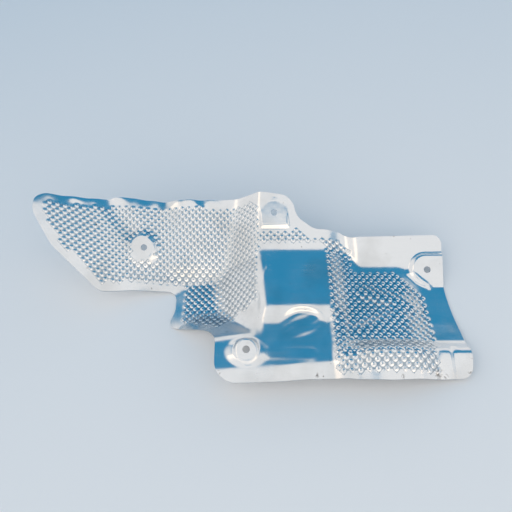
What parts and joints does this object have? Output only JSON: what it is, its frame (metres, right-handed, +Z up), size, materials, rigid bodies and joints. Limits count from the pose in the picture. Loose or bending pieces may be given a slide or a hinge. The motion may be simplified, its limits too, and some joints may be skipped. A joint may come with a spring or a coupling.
{
  "type": "transmission heat shield",
  "caption": "Pressed and dimpled sheet shield that keeps heat off a gearbox, with a raised wing, a deep valley, a plain panel, stiffening beads and seats for bolts.",
  "frame": {"origin": "middle of the footprint, on the surface that the shield lies on", "axes": "+X along the length from the wing to the body, +Y from the front edge to the back edge, +Z up"},
  "size_m": [0.4036, 0.1935, 0.091],
  "materials": {
    "sheet": "bright rolled, lightly brushed"
  },
  "bodies": {
    "root": {"heat_shield": "sheet"}
  },
  "joints": []
}
